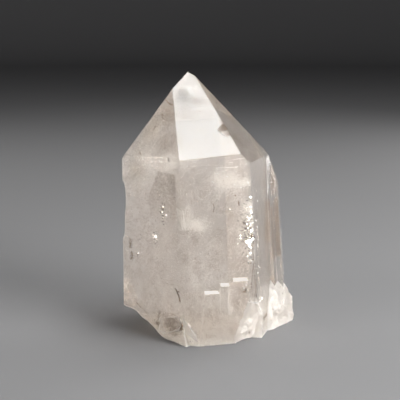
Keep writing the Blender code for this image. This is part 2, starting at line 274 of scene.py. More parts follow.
# Iron and clay stains just inside: points across and up along each, its spread and its number of
# grains
STAINS = [
    ([(-13.3, 22.0), (-12.6, 20.7), (-12.1, 19.6), (-11.6, 18.4), (-11.4, 17.0)], 0.16, 260),
    ([(-12.6, 20.7), (-11.9, 21.0)], 0.10, 40),
    ([(15.6, 47.0), (16.0, 42.0), (15.4, 36.0), (15.9, 31.0), (15.2, 25.0), (14.8, 19.5)], 0.12, 380),
    ([(10.0, 54.3), (10.1, 52.6)], 0.10, 60),
    ([(15.0, 41.6), (14.8, 40.2)], 0.16, 90),
    ([(0.5, 54.0), (0.9, 52.2), (0.5, 50.6)], 0.08, 50),
    ([(8.6, 57.0), (8.8, 56.2)], 0.10, 30),
    ([(12.2, 21.8), (13.4, 21.0), (12.6, 19.9), (11.6, 20.6)], 0.30, 130),
    ([(-30.4, 37.6), (-30.6, 34.0)], 0.36, 200),
    ([(-30.0, 32.5), (-30.3, 29.5)], 0.34, 160),
    ([(-17.0, 90.4), (-15.6, 89.2), (-14.4, 88.8)], 0.2, 80),
    ([(-18.4, 85.4), (-18.0, 84.0)], 0.14, 36),
    ([(-20.6, 81.0), (-21.4, 79.6)], 0.12, 24),
    ([(-9.6, 88.9), (-8.8, 88.2), (-7.0, 87.6)], 0.16, 60),
    ([(-13.2, 92.6), (-12.4, 91.0), (-12.8, 89.4)], 0.28, 90),
    ([(-9.8, 93.8), (-8.8, 92.4), (-9.8, 91.0)], 0.3, 80),
    ([(-6.2, 86.6), (-3.4, 86.3)], 0.07, 34),
    ([(-10.6, 87.4), (-10.2, 84.0)], 0.12, 40),
    ([(2.2, 87.4), (3.0, 86.2)], 0.16, 44),
    ([(6.9, 78.4), (10.0, 75.4), (13.2, 72.6)], 0.05, 60),
    ([(8.2, 79.4), (11.4, 76.4), (14.6, 73.4)], 0.05, 60),
    ([(-8.0, 70.4), (1.0, 71.0), (8.0, 71.6)], 0.28, 50),
    ([(-15.6, 70.8), (-15.4, 69.6)], 0.14, 26),
    ([(-26.6, 71.6), (-26.2, 70.6)], 0.14, 26),
    ([(17.2, 49.0), (16.6, 41.0), (17.4, 33.0), (16.7, 25.0), (17.2, 17.0)], 0.42, 1100),
    ([(18.6, 44.0), (18.2, 36.0), (18.8, 28.0), (18.2, 18.0)], 0.4, 420),
    ([(-20.6, 6.8), (-19.6, 5.8)], 0.50, 200),
    ([(-11.4, 8.2), (-11.0, 6.6)], 0.55, 160),
]
# Stains on the broken surfaces of the foot
FOOT_STAINS = [
    ([(-19.4, 11.4), (-19.9, 9.0), (-19.4, 6.6), (-17.8, 4.4)], 0.24, 150),
    ([(-19.4, 11.4), (-15.0, 11.7), (-11.2, 10.8)], 0.12, 60),
    ([(-11.0, 9.4), (-10.6, 7.4), (-11.2, 6.0)], 0.24, 110),
    ([(20.2, 6.4), (21.8, 6.7)], 0.5, 150),
    ([(14.2, 2.3), (15.0, 1.9)], 0.35, 90),
    ([(-29.0, 13.0), (-24.0, 9.2)], 0.14, 70),
]
# Smoky streaks down the side growth and in the foot
SMOKY_STREAKS = [
    ([(22.0, 50.0), (22.0, 42.0), (22.4, 34.0)], 0.75, 5200),
    ([(25.8, 50.0), (26.2, 40.0), (27.0, 27.0)], 0.65, 5900),
    ([(24.0, 62.0), (24.4, 52.0)], 0.7, 1700),
    ([(23.8, 47.0), (24.5, 37.0), (25.0, 26.0)], 0.4, 3000),
    ([(-17.5, 9.6), (-12.5, 8.8)], 1.0, 740),
    ([(-17.0, 6.8), (-12.6, 6.4)], 1.0, 740),
    ([(-15.4, 4.6), (-12.8, 4.4)], 0.7, 300),
    ([(24.5, 19.0), (27.0, 15.0)], 0.8, 500),
    ([(28.5, 9.0), (26.5, 5.0)], 0.8, 500),
]
# Short white healed cracks, and white lines along the front plate's upright edges, which are painted
# highlights
WHITE_STROKES = [
    ([(3.3, 22.2), (3.3, 12.5)], 0.03, 280),
    ([(6.4, 21.8), (6.4, 11.5)], 0.03, 280),
    ([(1.5, 56.0), (2.8, 55.4)], 0.05, 26),
    ([(5.0, 56.4), (6.6, 57.1)], 0.05, 26),
    ([(3.0, 52.2), (4.6, 52.8)], 0.05, 26),
    ([(7.8, 54.4), (8.8, 55.2)], 0.05, 22),
    ([(-5.2, 57.4), (-4.4, 56.0), (-3.2, 55.6)], 0.07, 44),
    ([(-9.0, 47.6), (-8.0, 45.4)], 0.06, 30),
    ([(1.6, 66.6), (2.2, 65.4), (1.8, 64.6)], 0.12, 44),
    ([(-24.6, 43.0), (-23.8, 41.6)], 0.07, 24),
    ([(-16.4, 44.0), (-15.6, 43.0)], 0.07, 20),
    ([(9.4, 40.4), (10.6, 38.8)], 0.08, 36),
    ([(11.0, 48.6), (12.0, 47.8)], 0.08, 30),
    ([(-19.0, 84.4), (-18.4, 83.6)], 0.08, 26),
    ([(-7.6, 87.2), (-4.6, 86.8)], 0.07, 40),
    ([(2.8, 86.6), (3.6, 85.4)], 0.10, 36),
    ([(-8.4, 4.6), (-6.8, 2.4)], 0.6, 800),
    ([(-9.6, 6.8), (-8.2, 3.6)], 0.9, 900),
]
STAIN_GRAIN = (0.08, 0.2)
STAIN_DEPTH = (0.3, 0.8)
FOOT_STAIN_DEPTH = (-0.04, 0.3)
# A line is followed to just short of its last point
LINE_END = 1.001

# Glinting cracks inside: the middle of each, its spread, its number of flakes and their size
CRACKS = [
    ((-17.2, -20.2, 50.4), (0.6, 0.5, 2.6), 60, 0.6),
    ((-20.3, -17.6, 40.2), (0.6, 0.5, 1.3), 30, 0.6),
    ((-27.4, -10.6, 31.8), (0.4, 0.4, 0.4), 10, 0.6),
    ((-25.8, -12.4, 38.8), (0.8, 0.6, 0.7), 8, 0.4),
    ((13.6, -20.5, 42.0), (1.7, 0.35, 6.0), 380, 0.5),
    ((14.2, -20.2, 41.0), (0.9, 0.3, 4.0), 34, 1.5),
    ((13.0, -20.6, 46.0), (1.2, 0.3, 1.4), 9, 1.2),
    ((12.6, -19.2, 60.8), (2.4, 0.8, 0.9), 30, 0.45),
    ((17.2, -14.6, 36.0), (0.6, 0.9, 12.0), 240, 0.36),
    ((10.6, -20.6, 40.0), (0.9, 0.6, 1.2), 12, 0.5),
    ((0.6, -1.0, 87.0), (1.3, 1.3, 1.8), 26, 0.5),
    ((-20.0, -8.0, 86.0), (1.5, 1.5, 1.5), 9, 0.4),
    ((-7.6, -4.6, 93.8), (1.0, 0.5, 0.8), 30, 0.4),
    ((-4.2, -12.0, 85.8), (2.2, 0.6, 0.3), 18, 0.45),
    ((2.0, -21.0, 55.0), (6.0, 2.0, 9.0), 60, 0.32),
    ((-7.5, -25.5, 3.8), (1.2, 1.0, 1.2), 30, 0.6),
    ((16.0, -17.0, 8.0), (2.4, 1.6, 3.0), 60, 0.5),
    ((24.0, -12.0, 14.0), (3.0, 2.0, 5.0), 60, 0.6),
    ((28.4, -2.0, 60.0), (0.5, 1.6, 5.0), 30, 0.5),
]
# Most cracks face one of these ways, which catch the light through the left, front and right faces:
# how far across each set reaches, and its directions
CRACK_FACINGS = [
    (-11.0, [(-0.507, -0.807, 0.302)]),
    (16.0, [(0.207, -0.785, 0.585), (0.548, -0.825, 0.14)]),
    (40.0, [(0.746, -0.654, 0.124)]),
]
# How far they scatter from it, and the share that faces any way
CRACK_SCATTER = 0.09
CRACK_STRAYS = 0.25
# The outline of a crack: its corners, how far each reaches out, its width for its length and its
# thickness, then the shares of the full size that occur, and the least depth
CRACK_CORNERS = 8
CRACK_REACH = (0.45, 1.15)
CRACK_SLIMNESS = (0.25, 0.8)
CRACK_THICKNESS = 0.08
CRACK_SIZES = (0.4, 0.9)
CRACK_LEAST_DEPTH = 0.4


def make_object(name, mesh, material):
    piece = bpy.data.objects.new(name, mesh)
    bpy.context.scene.collection.objects.link(piece)
    mesh.materials.clear()
    mesh.materials.append(material)
    return piece


def as_piece(piece):
    """Let a piece ride with the crystal."""
    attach(piece, "root")
    return piece


class Nodes:
    """A material's node tree, written as one call for each node."""

    def __init__(self, name):
        self.material = bpy.data.materials.new(name)
        self.material.use_nodes = True
        self.tree = self.material.node_tree
        self.tree.nodes.clear()
        self.output = self.add("ShaderNodeOutputMaterial")

    def add(self, kind, inputs=None, **settings):
        made = self.tree.nodes.new(kind)
        for key, value in settings.items():
            setattr(made, key, value)
        for key, value in (inputs or {}).items():
            if isinstance(value, bpy.types.NodeSocket):
                self.tree.links.new(value, made.inputs[key])
            else:
                made.inputs[key].default_value = value
        return made

    def surface(self, shader):
        self.tree.links.new(shader.outputs[0], self.output.inputs["Surface"])

    def volume(self, shader):
        self.tree.links.new(shader.outputs[0], self.output.inputs["Volume"])

    def place(self):
        return self.add("ShaderNodeTexCoord").outputs["Object"]

    def cloud(self, size, detail=3.0, vector=None):
        """Noise whose features are about this many millimetres across."""
        inputs = {"Vector": vector or self.place(), "Scale": 1.0 / (size * MM), "Detail": detail}
        return self.add("ShaderNodeTexNoise", inputs).outputs["Fac"]

    def span(self, value, low, high, to_low=0.0, to_high=1.0):
        """A value's range spread over another range."""
        inputs = {"Value": value, "From Min": low, "From Max": high}
        inputs.update({"To Min": to_low, "To Max": to_high})
        return self.add("ShaderNodeMapRange", inputs, clamp=True).outputs["Result"]

    def plus(self, a, b):
        return self.add("ShaderNodeMath", {0: a, 1: b}, operation="ADD").outputs[0]

    def times(self, a, b):
        return self.add("ShaderNodeMath", {0: a, 1: b}, operation="MULTIPLY").outputs[0]

    def stretched(self, scale):
        """The place in the piece, stretched along its axes."""
        return self.add("ShaderNodeMapping", {"Vector": self.place(), "Scale": scale}).outputs[0]

    def blend(self, factor, a, b):
        """A colour between two; sockets 6 and 7 hold them, and output 2 gives it."""
        inputs = {"Factor": factor, 6: (*a, 1.0), 7: (*b, 1.0)}
        return self.add("ShaderNodeMix", inputs, data_type="RGBA").outputs[2]


def quartz():
    """Clear quartz with a faint milkiness, glossy on its faces and frosted where it is broken."""
    n = Nodes("quartz_crystal")
    broken = n.add("ShaderNodeAttribute", attribute_name="broken").outputs["Fac"]
    milk = n.span(n.cloud(17.0, 4.0), 0.38, 0.66)
    colour = n.blend(milk, (0.95, 0.92, 0.885), (1.0, 0.985, 0.965))
    rough_break = n.span(n.cloud(1.4, 5.0), 0.3, 0.7, 0.22, 0.5)
    smooth = n.span(n.cloud(6.0), 0.35, 0.7, 0.02, 0.07)
    roughness = n.plus(smooth, n.times(rough_break, broken))
    level = n.stretched((0.25, 0.25, 4.0))
    upright = n.stretched((3.0, 3.0, 0.14))
    sideways = n.add("ShaderNodeSeparateXYZ", {"Vector": n.place()}).outputs["X"]
    side_growth = n.span(sideways, 16.5 * MM, 18.0 * MM)
    waves = n.times(n.cloud(9.0, 2.0), 0.8)
    striations = n.times(n.span(n.cloud(2.2, 3.0, level), 0.3, 0.7), 0.35)
    streaks = n.times(n.times(n.cloud(2.0, 3.0, upright), side_growth), 2.0)
    grain = n.times(n.times(n.cloud(0.8, 4.0), broken), 1.5)
    height = n.plus(n.plus(waves, n.plus(striations, streaks)), grain)
    bump = n.add("ShaderNodeBump", {"Height": height, "Strength": 0.5, "Distance": 0.08 * MM})
    shader = n.add("ShaderNodeBsdfPrincipled", {
        "Base Color": colour,
        "Roughness": roughness,
        "IOR": QUARTZ_IOR,
        "Transmission Weight": 1.0,
        "Normal": bump.outputs[0],
    })
    n.surface(shader)
    n.volume(n.add("ShaderNodeVolumeAbsorption", {"Color": QUARTZ_TINT, "Density": TINT_DENSITY}))
    return n.material


def flat_regions(bm):
    """Groups of faces that lie in one plane and touch each other."""
    limit = math.cos(math.radians(FLAT_ANGLE))
    seen = set()
    for start in bm.faces:
        if start in seen:
            continue
        seen.add(start)
        region, todo = [], [start]
        while todo:
            face = todo.pop()
            region.append(face)
            for edge in face.edges:
                for near in edge.link_faces:
                    if near not in seen and near.normal.dot(start.normal) > limit:
                        seen.add(near)
                        todo.append(near)
        yield start.normal.copy(), region


def in_zone(point, zone):
    """Whether a point lies in a box, given as from and to along each axis."""
    return all(low < at < high for at, (low, high) in zip(point, zone))


def mark_broken(bm):
    """Set the broken layer to 1 on all that isn't smooth; return the layer and the smooth regions."""
    broken = bm.faces.layers.float.new("broken")
    natural = []
    for normal, region in flat_regions(bm):
        area = sum(face.calc_area() for face in region) / MM ** 2
        middle = sum((face.calc_center_median() for face in region), Vector()) / len(region) / MM
        smooth = area > SMOOTH_AREA and any(in_zone(middle, zone) for zone in SMOOTH_ZONES)
        grown = smooth or (area > NATURAL_AREA and normal.z > LOOKS_DOWN)
        for face in region:
            face[broken] = 0.0 if grown else 1.0
        if grown:
            natural.append(region)
    return broken, natural


def edges_of(faces, wanted):
    """The edges that are wanted of some faces, each once and in the same order in every run."""
    return list(dict.fromkeys(edge for face in faces for edge in face.edges if wanted(edge)))


def merge_flat(bm, natural):
    """Make each natural face one polygon."""
    for region in natural:
        inside = set(region)
        edges = edges_of(region, lambda edge: all(near in inside for near in edge.link_faces))
        if edges:
            bmesh.ops.dissolve_edges(bm, edges=edges, use_verts=False)


def refine_breaks(bm, broken):
    """Divide the broken surfaces into small triangles."""
    longest = BREAK_STRETCH * BREAK_EDGE * MM
    for _ in range(BREAK_ROUNDS):
        rough = [f for f in bm.faces if f[broken] > 0.5]
        edges = edges_of(rough, lambda edge: edge.calc_length() > longest)
        if not edges:
            break
        bmesh.ops.subdivide_edges(bm, edges=edges, cuts=1, use_grid_fill=True)
        bmesh.ops.triangulate(bm, faces=[f for f in bm.faces if f[broken] > 0.5 and len(f.verts) > 3])


def round_edges(bm, broken):
    """A narrow rounding along the edges between natural faces."""
    limit = math.radians(EDGE_ANGLE)
    sharp = []
    for edge in bm.edges:
        if len(edge.link_faces) == 2 and all(f[broken] < 0.5 for f in edge.link_faces):
            if edge.calc_face_angle() > limit:
                sharp.append(edge)
    made = bmesh.ops.bevel(
        bm, geom=sharp, offset=EDGE_ROUNDING * MM, offset_type="OFFSET", segments=2, profile=0.5,
        affect="EDGES", clamp_overlap=True, loop_slide=True,
    )
    return made["faces"]


def lumps(point, size, octaves, fall=0.8, shift=0.0):
    """Noise whose largest lumps are about this many millimetres across."""
    return noise.fractal(point / (size * MM) + Vector((shift, 0.0, 0.0)), fall, 2.0, octaves)


def broken_relief(point):
    """How far a broken surface stands out at a point, in metres."""
    coarse, coarse_grain = BREAK_COARSE
    fine, fine_grain = BREAK_FINE
    hollows = noise.voronoi(point / (coarse_grain * MM))[0][0] * HOLLOW_RANGE - HOLLOW_LEVEL
    grain = lumps(point, fine_grain, 3, fall=0.9)
    return (hollows * coarse + grain * fine) * MM


def displace_breaks(bm, broken):
    """Give broken surfaces their fine relief; on a natural face's rim a point only slides along it."""
    bm.normal_update()
    moves = []
    for vert in bm.verts:
        rough = [f for f in vert.link_faces if f[broken] > 0.5]
        if not rough:
            continue
        outward = sum((f.normal for f in rough), Vector()).normalized()
        move = outward * broken_relief(vert.co)
        flats = []
        for face in vert.link_faces:
            if face[broken] < 0.5 and all(abs(face.normal.dot(other)) < ALIKE for other in flats):
                flats.append(face.normal.copy())
        if vert.co.z < CONTACT_HEIGHT * MM:
            flats.append(Vector((0.0, 0.0, 1.0)))
        if len(flats) == 1:
            move -= flats[0] * move.dot(flats[0])
        elif len(flats) == 2:
            along = flats[0].cross(flats[1]).normalized()
            move = along * move.dot(along)
        elif flats:
            move = Vector()
        moves.append((vert, move))
    for vert, move in moves:
        vert.co += move
        vert.co.z = max(vert.co.z, 0.0)


def mark_sharp(bm, broken):
    """Crisp edges between ridges of the break, and wherever a break meets a natural face."""
    limit = math.radians(SHARP_ANGLE)
    for edge in bm.edges:
        kinds = {face[broken] > 0.5 for face in edge.link_faces}
        edge.smooth = len(kinds) == 1 and edge.calc_face_angle(0.0) < limit


def crystal_shell(source, material):
    """The crystal's own surface, made from the solid."""
    bm = bmesh.new()
    bm.from_mesh(source.data)
    bmesh.ops.remove_doubles(bm, verts=bm.verts, dist=MERGE_DISTANCE)
    broken, natural = mark_broken(bm)
    merge_flat(bm, natural)
    refine_breaks(bm, broken)
    rounded = round_edges(bm, broken)
    for face in bm.faces:
        face.smooth = face[broken] > 0.5
    for face in rounded:
        narrow = 2.0 * face.calc_area() / face.calc_perimeter() < EDGE_ROUNDING * MM
        face.smooth = face.smooth or narrow
    displace_breaks(bm, broken)
    bmesh.ops.triangulate(bm, faces=bm.faces)
    mark_sharp(bm, broken)
    mesh = bpy.data.meshes.new("crystal")
    bm.to_mesh(mesh)
    bm.free()
    if "custom_normal" in mesh.attributes:
        mesh.attributes.remove(mesh.attributes["custom_normal"])
    shell = as_piece(make_object("crystal", mesh, material))
    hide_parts(NODE)
    print("crystal triangles:", len(mesh.polygons))
    return shell


TETRAHEDRON = np.array([(1, 1, 1), (1, -1, -1), (-1, 1, -1), (-1, -1, 1)]) / math.sqrt(3.0)
TETRAHEDRON_FACES = np.array([(0, 2, 1), (0, 1, 3), (0, 3, 2), (1, 2, 3)])


def random_turns(rng, count):
    """Random rotation matrices."""
    w, x, y, z = rng.normal(size=(4, count))
    norm = np.sqrt(w * w + x * x + y * y + z * z)
    w, x, y, z = w / norm, x / norm, y / norm, z / norm
    rows = [
        (1 - 2 * (y * y + z * z), 2 * (x * y - z * w), 2 * (x * z + y * w)),
        (2 * (x * y + z * w), 1 - 2 * (x * x + z * z), 2 * (y * z - x * w)),
        (2 * (x * z - y * w), 2 * (y * z + x * w), 1 - 2 * (x * x + y * y)),
    ]
    return np.array(rows).transpose(2, 0, 1)


def flake_piece(name, places, sizes, flatness, rng, material):
    """Many small closed flakes above the floor, as one mesh; places and sizes are in metres."""
    places[:, 2] = np.maximum(places[:, 2], sizes)
    count = len(places)
    shape = TETRAHEDRON * (1.0, 1.0, flatness)
    corners = np.einsum("nij,kj->nki", random_turns(rng, count), shape) * sizes[:, None, None]
    corners += places[:, None, :]
    faces = (np.arange(count) * 4)[:, None, None] + TETRAHEDRON_FACES
    mesh = bpy.data.meshes.new(name)
    mesh.from_pydata(corners.reshape(-1, 3).tolist(), [], faces.reshape(-1, 3).tolist())
    print(name, "triangles:", len(mesh.polygons), flush=True)
    as_piece(make_object(name, mesh, material))


def surface_tree(shell):
    """The crystal's surface, ready to be searched."""
    corners = [vert.co for vert in shell.data.vertices]
    return BVHTree.FromPolygons(corners, [tuple(face.vertices) for face in shell.data.polygons])


def well_inside(tree, place, depth):
    """True for a point inside the crystal that is at least this deep."""
    crossings = 0
    start = place
    while start is not None:
        hit, _, _, _ = tree.ray_cast(start, Vector((0.0, 0.0, 1.0)))
        crossings += hit is not None
        start = hit + Vector((0.0, 0.0, PAST_SURFACE * MM)) if hit else None
    return crossings % 2 == 1 and tree.find_nearest(place)[3] > depth * MM


def varied(size, count, rng):
    """Sizes around this many millimetres, in metres."""
    return size * rng.uniform(*SIZE_RANGE, count) * MM


def clouds(tree, name, shapes, material):
    """Clouds of tiny bubbles, as small flakes."""
    rng = np.random.default_rng(SEEDS[name])
    places, sizes = [], []
    for middle, spread, count, size in shapes:
        for offset in rng.normal(size=(count, 3)):
            place = Vector(np.array(middle) + offset * spread) * MM
            kept = lumps(place, CLOUD_LUMPS, 4) > rng.uniform(*CLOUD_EDGE)
            if kept and well_inside(tree, place, CLOUD_LEAST_DEPTH):
                places.append(place)
                sizes.append(size * rng.uniform(*SIZE_RANGE))
    flake_piece(name, np.array(places), np.array(sizes) * MM, FLAKE_FLATNESS, rng, material)


def on_lace(place, rng):
    """True near the borders of small cells, in patches."""
    near, far = noise.voronoi(place / (LACE_CELL * MM))[0][:2]
    patch = lumps(place, LACE_PATCH, 2)
    return far - near < rng.uniform(0.0, LACE_WIDTH) and patch > rng.uniform(*LACE_EDGE)


def bubble_veils(tree, material):
    """Healed cracks, lined with lace-like films of tiny bubbles."""
    rng = np.random.default_rng(SEEDS["bubble_veils"])
    places = []
    for middle, facing, (across, up), bend, count in VEILS:
        turn = Vector(facing).to_track_quat("Z", "Y").to_matrix()
        for u, v in rng.uniform(-1.0, 1.0, (count, 2)):
            rise = bend * (u * u + noise.noise(Vector((u, v, bend)) * VEIL_WAVES))
            place = (Vector(middle) + turn @ Vector((u * across, v * up, rise))) * MM
            kept = u * u + v * v < 1.0 and on_lace(place, rng)
            if kept and well_inside(tree, place, VEIL_LEAST_DEPTH):
                places.append(place)
    sizes = varied(VEIL_SIZE, len(places), rng)
    flake_piece("bubble_veils", np.array(places), sizes, FLAKE_FLATNESS, rng, material)


def behind_front(tree, across, up, depth):
    """The point this deep behind the front surface, or None where there is no crystal."""
    start = Vector((across, IN_FRONT, up)) * MM
    place, _, _, _ = tree.ray_cast(start, Vector((0.0, 1.0, 0.0)))
    if place is None:
        return None
    return place + Vector((0.0, depth * MM, 0.0))


def in_outline(outline, across, up):
    """Whether a point lies inside a closed outline."""
    inside = False
    for (x1, z1), (x2, z2) in zip(outline, outline[1:] + outline[:1]):
        if (z1 > up) != (z2 > up) and across < x1 + (up - z1) * (x2 - x1) / (z2 - z1):
            inside = not inside
    return inside


def curtain(tree, name, values, material):
    """A faint layer behind the front faces, in soft patches, clear in the window."""
    tries, size, depth, patches, lean, top = values
    rng = np.random.default_rng(SEEDS[name])
    places = []
    for _ in range(tries):
        across, up = rng.uniform(*CURTAIN_ACROSS), rng.uniform(CURTAIN_FOOT, top)
        faded = up > top - rng.uniform(0.0, CURTAIN_FADE)
        place = behind_front(tree, across, up, rng.uniform(*depth))
        if place is None or faded or in_outline(WINDOW, across, up):
            continue
        patch = lumps(place, patches, 5, fall=0.7, shift=tries) + lean * across
        if patch > rng.uniform(*CURTAIN_EDGE) and well_inside(tree, place, CURTAIN_LEAST_DEPTH):
            places.append(place)
    sizes = varied(size, len(places), rng)
    flake_piece(name, np.array(places), sizes, FLAKE_FLATNESS, rng, material)


def fill_outline(tree, outline, tries, depth, rng):
    """Places behind the front surface, scattered over an outline."""
    low, high = np.min(outline, axis=0), np.max(outline, axis=0)
    places = []
    for across, up in rng.uniform(low, high, (tries, 2)):
        place = behind_front(tree, across, up, depth)
        if place is not None and in_outline(outline, across, up):
            places.append(place)
    return places


def window_and_wedge(tree, painted_shade_material, painted_highlight_material):
    """A darker window with crisp upper edges that fades downwards, as greyish flakes of painted shade,
    and a bright wedge beside it, as white flakes of painted highlight.
    """
    rng = np.random.default_rng(SEEDS["window_and_wedge"])
    low, high = WINDOW_FADE
    places = []
    for place in fill_outline(tree, WINDOW, WINDOW_TRIES, WINDOW_DEPTH, rng):
        if rng.uniform() < (place.z / MM - low) / (high - low):
            places.append(place)
    sizes = varied(WINDOW_FLAKE, len(places), rng)
    flake_piece("painted_shade_window", np.array(places), sizes, FLAKE_FLATNESS, rng, painted_shade_material)
    places = fill_outline(tree, WEDGE, WEDGE_TRIES, WINDOW_DEPTH, rng)
    sizes = varied(WEDGE_FLAKE, len(places), rng)
    flake_piece("painted_highlight_wedge", np.array(places), sizes, FLAKE_FLATNESS, rng, painted_highlight_material)


def corners_of(mesh, face):
    return [mesh.vertices[i].co for i in face.vertices]


def point_on(corners, rng):
    """A random point on a triangle."""
    first, second, third = corners
    a, b = sorted(rng.uniform(size=2))
    return first * a + second * (b - a) + third * (1.0 - b)


def specks(tree, shell, material):
    """Small dark specks here and there, just under the natural faces.

    Rounding the edges lists these faces in an order of its own, so they are sorted by place first.
    """
    rng = np.random.default_rng(SEEDS["dark_specks"])
    mesh = shell.data
    marks = mesh.attributes["broken"].data
    faces = []
    for face in mesh.polygons:
        if marks[face.index].value < 0.5:
            faces.append((sorted(tuple(corner) for corner in corners_of(mesh, face)), face))
    faces.sort(key=lambda pair: pair[0])
    areas = np.array([face.area for _, face in faces])
    places = []
    for index in rng.choice(len(faces), SPECKS, p=areas / areas.sum()):
        corners, face = faces[index]
        place = point_on([Vector(corner) for corner in corners], rng)
        place -= face.normal * rng.uniform(*SPECK_DEPTH) * MM
        if well_inside(tree, place, SPECK_LEAST_DEPTH):
            places.append(place)
    sizes = rng.uniform(*SPECK_GRAIN, len(places)) * MM
    flake_piece("dark_specks", np.array(places), sizes, GRAIN_FLATNESS, rng, material)


def stains(tree, name, strokes, depth, material):
    """Stains in small cracks near the surface, as grains along a line; the white grains along the front
    plate's upright edges are painted highlights.
    """
    rng = np.random.default_rng(SEEDS[name])
    places = []
    for line, spread, count in strokes:
        for _ in range(count):
            along = rng.uniform(0.0, len(line) - LINE_END)
            part = int(along)
            here, ahead = np.array(line[part]), np.array(line[part + 1])
            spot = here * (part + 1 - along) + ahead * (along - part)
            across, up = spot + rng.normal(size=2) * spread
            place = behind_front(tree, across, up, rng.uniform(*depth))
            if place is not None:
                places.append(place)
    sizes = rng.uniform(*STAIN_GRAIN, len(places)) * MM
    flake_piece(name, np.array(places), sizes, GRAIN_FLATNESS, rng, material)


def crack_flake(bm, place, facing, radius, rng):
    """One thin flat flake with an uneven outline."""
    turn = facing.to_track_quat("Z", "Y").to_matrix()
    slimness = rng.uniform(*CRACK_SLIMNESS)
    reaches = radius * rng.uniform(*CRACK_REACH, CRACK_CORNERS)
    rings = []
    for side in (-0.5, 0.5):
        ring = []
        for i, reach in enumerate(reaches):
            angle = math.tau * i / CRACK_CORNERS
            lift = side * CRACK_THICKNESS * radius
            corner = Vector((math.cos(angle) * reach, math.sin(angle) * reach * slimness, lift))
            ring.append(bm.verts.new(place + turn @ corner))
        rings.append(ring)
    bm.faces.new(rings[1])
    bm.faces.new(list(reversed(rings[0])))
    for i in range(CRACK_CORNERS):
        j = (i + 1) % CRACK_CORNERS
        bm.faces.new((rings[0][i], rings[0][j], rings[1][j], rings[1][i]))


def glinting_cracks(tree, material):
    """Small inner cracks, as flat mirror-like flakes."""
    rng = np.random.default_rng(SEEDS["crack_glints"])
    bm = bmesh.new()
    for middle, spread, count, size in CRACKS:
        facings = next(ways for reach, ways in CRACK_FACINGS if middle[0] < reach)
        for offset in rng.normal(size=(count, 3)):
            place = Vector(np.array(middle) + offset * spread) * MM
            facing = Vector(facings[rng.integers(len(facings))])
            facing += Vector(rng.normal(size=3)) * CRACK_SCATTER
            if rng.uniform() < CRACK_STRAYS:
                facing = Vector(rng.normal(size=3))
            radius = size * rng.uniform(*CRACK_SIZES) * MM
            if well_inside(tree, place, CRACK_LEAST_DEPTH):
                crack_flake(bm, place, facing.normalized(), radius, rng)
    mesh = bpy.data.meshes.new("crack_glints")
    bm.to_mesh(mesh)
    bm.free()
    as_piece(make_object("crack_glints", mesh, material))


def milky_filling():
    """A milky filling with no surface of its own."""
    n = Nodes("quartz_haze")
    values = {"Color": HAZE_COLOUR, "Density": HAZE_DENSITY, "Anisotropy": HAZE_FORWARD}
    n.volume(n.add("ShaderNodeVolumeScatter", values))
    return n.material


def haze(shell, material):
    """The faint milkiness throughout, just inside the surface."""
    mesh = shell.data.copy()
    normals = [vert.normal.copy() for vert in mesh.vertices]
    for vert, normal in zip(mesh.vertices, normals):
        vert.co -= normal * HAZE_INSET * MM
    as_piece(make_object("inner_haze", mesh, material))


def crushed_breaks(shell, material):
    """Crushed quartz just under the broken surfaces, as small white grains; most lie under the foot."""
    rng = np.random.default_rng(SEEDS["crushed_quartz"])
    mesh = shell.data
    marks = mesh.attributes["broken"].data
    places = []
    for face in mesh.polygons:
        if marks[face.index].value < 0.5:
            continue
        middle = face.center / MM
        under = face.normal.z < LOOKS_DOWN
        weight = CRUSHED_BASE if under else CRUSHED_SIDE
        for spot, reach, extra in CRUSHED_SPOTS:
            weight += extra * math.exp(-((Vector(spot) - middle).length / reach) ** 2)
        wanted = weight * face.area / MM ** 2
        count = int(wanted) + (rng.uniform() < wanted % 1.0)
        for _ in range(count):
            place = point_on(corners_of(mesh, face), rng)
            if under or lumps(place, CLOUD_LUMPS, 3) > rng.uniform(*CRUSHED_EDGE):
                places.append(place - face.normal * rng.uniform(*CRUSHED_DEPTH) * MM)
    sizes = rng.uniform(*CRUSHED_GRAIN, len(places)) * MM
    flake_piece("crushed_quartz", np.array(places), sizes, GRAIN_FLATNESS, rng, material)


def edge_nicks(source, material):
    """Tiny bruises along the edges between natural faces."""
    rng = np.random.default_rng(SEEDS["edge_nicks"])
    bm = bmesh.new()
    bm.from_mesh(source.data)
    bmesh.ops.remove_doubles(bm, verts=bm.verts, dist=MERGE_DISTANCE)
    places = []
    for edge in bm.edges:
        if not edge.is_manifold or edge.calc_face_angle() < math.radians(NICK_ANGLE):
            continue
        if edge.calc_length() < NICK_EDGE * MM:
            continue
        first, last = (vert.co for vert in edge.verts)
        count = int(edge.calc_length() / MM * NICKS)
        for share in rng.uniform(size=count):
            place = first.lerp(last, share)
            if noise.noise(place / (NICK_PATCH * MM)) > rng.uniform(*NICK_PATCH_EDGE):
                places.append(place + Vector(rng.normal(size=3)) * NICK_STRAY * MM)
    bm.free()
    sizes = rng.uniform(*NICK_GRAIN, len(places)) * MM
    flake_piece("edge_nicks", np.array(places), sizes, GRAIN_FLATNESS, rng, material)


def milk():
    """White, bubble-filled and crushed quartz; in the bright wedge and along the front plate's upright
    edges the same flakes are painted highlights.
    """
    n = Nodes("quartz_milk_and_painted_highlight")
    tint = n.blend(n.cloud(5.0), (0.98, 0.95, 0.91), (0.99, 0.98, 0.96))
    n.surface(n.add("ShaderNodeBsdfPrincipled", {"Base Color": tint, "Roughness": 0.8}))
    return n.material


def stain():
    """Brown iron and clay."""
    n = Nodes("iron_stain")
    tint = n.blend(n.span(n.cloud(1.5), 0.35, 0.65), (0.10, 0.075, 0.045), (0.30, 0.19, 0.09))
    n.surface(n.add("ShaderNodeBsdfPrincipled", {"Base Color": tint, "Roughness": 0.85}))
    return n.material


def smoke_and_shade():
    """Greyish brown, the tint of dark quartz; in the darker window the same flakes are painted shade.
    """
    n = Nodes("smoky_quartz_and_painted_shade")
    tint = n.blend(n.cloud(4.0), (0.33, 0.26, 0.205), (0.51, 0.43, 0.36))
    n.surface(n.add("ShaderNodeBsdfPrincipled", {"Base Color": tint, "Roughness": 0.7}))
    return n.material


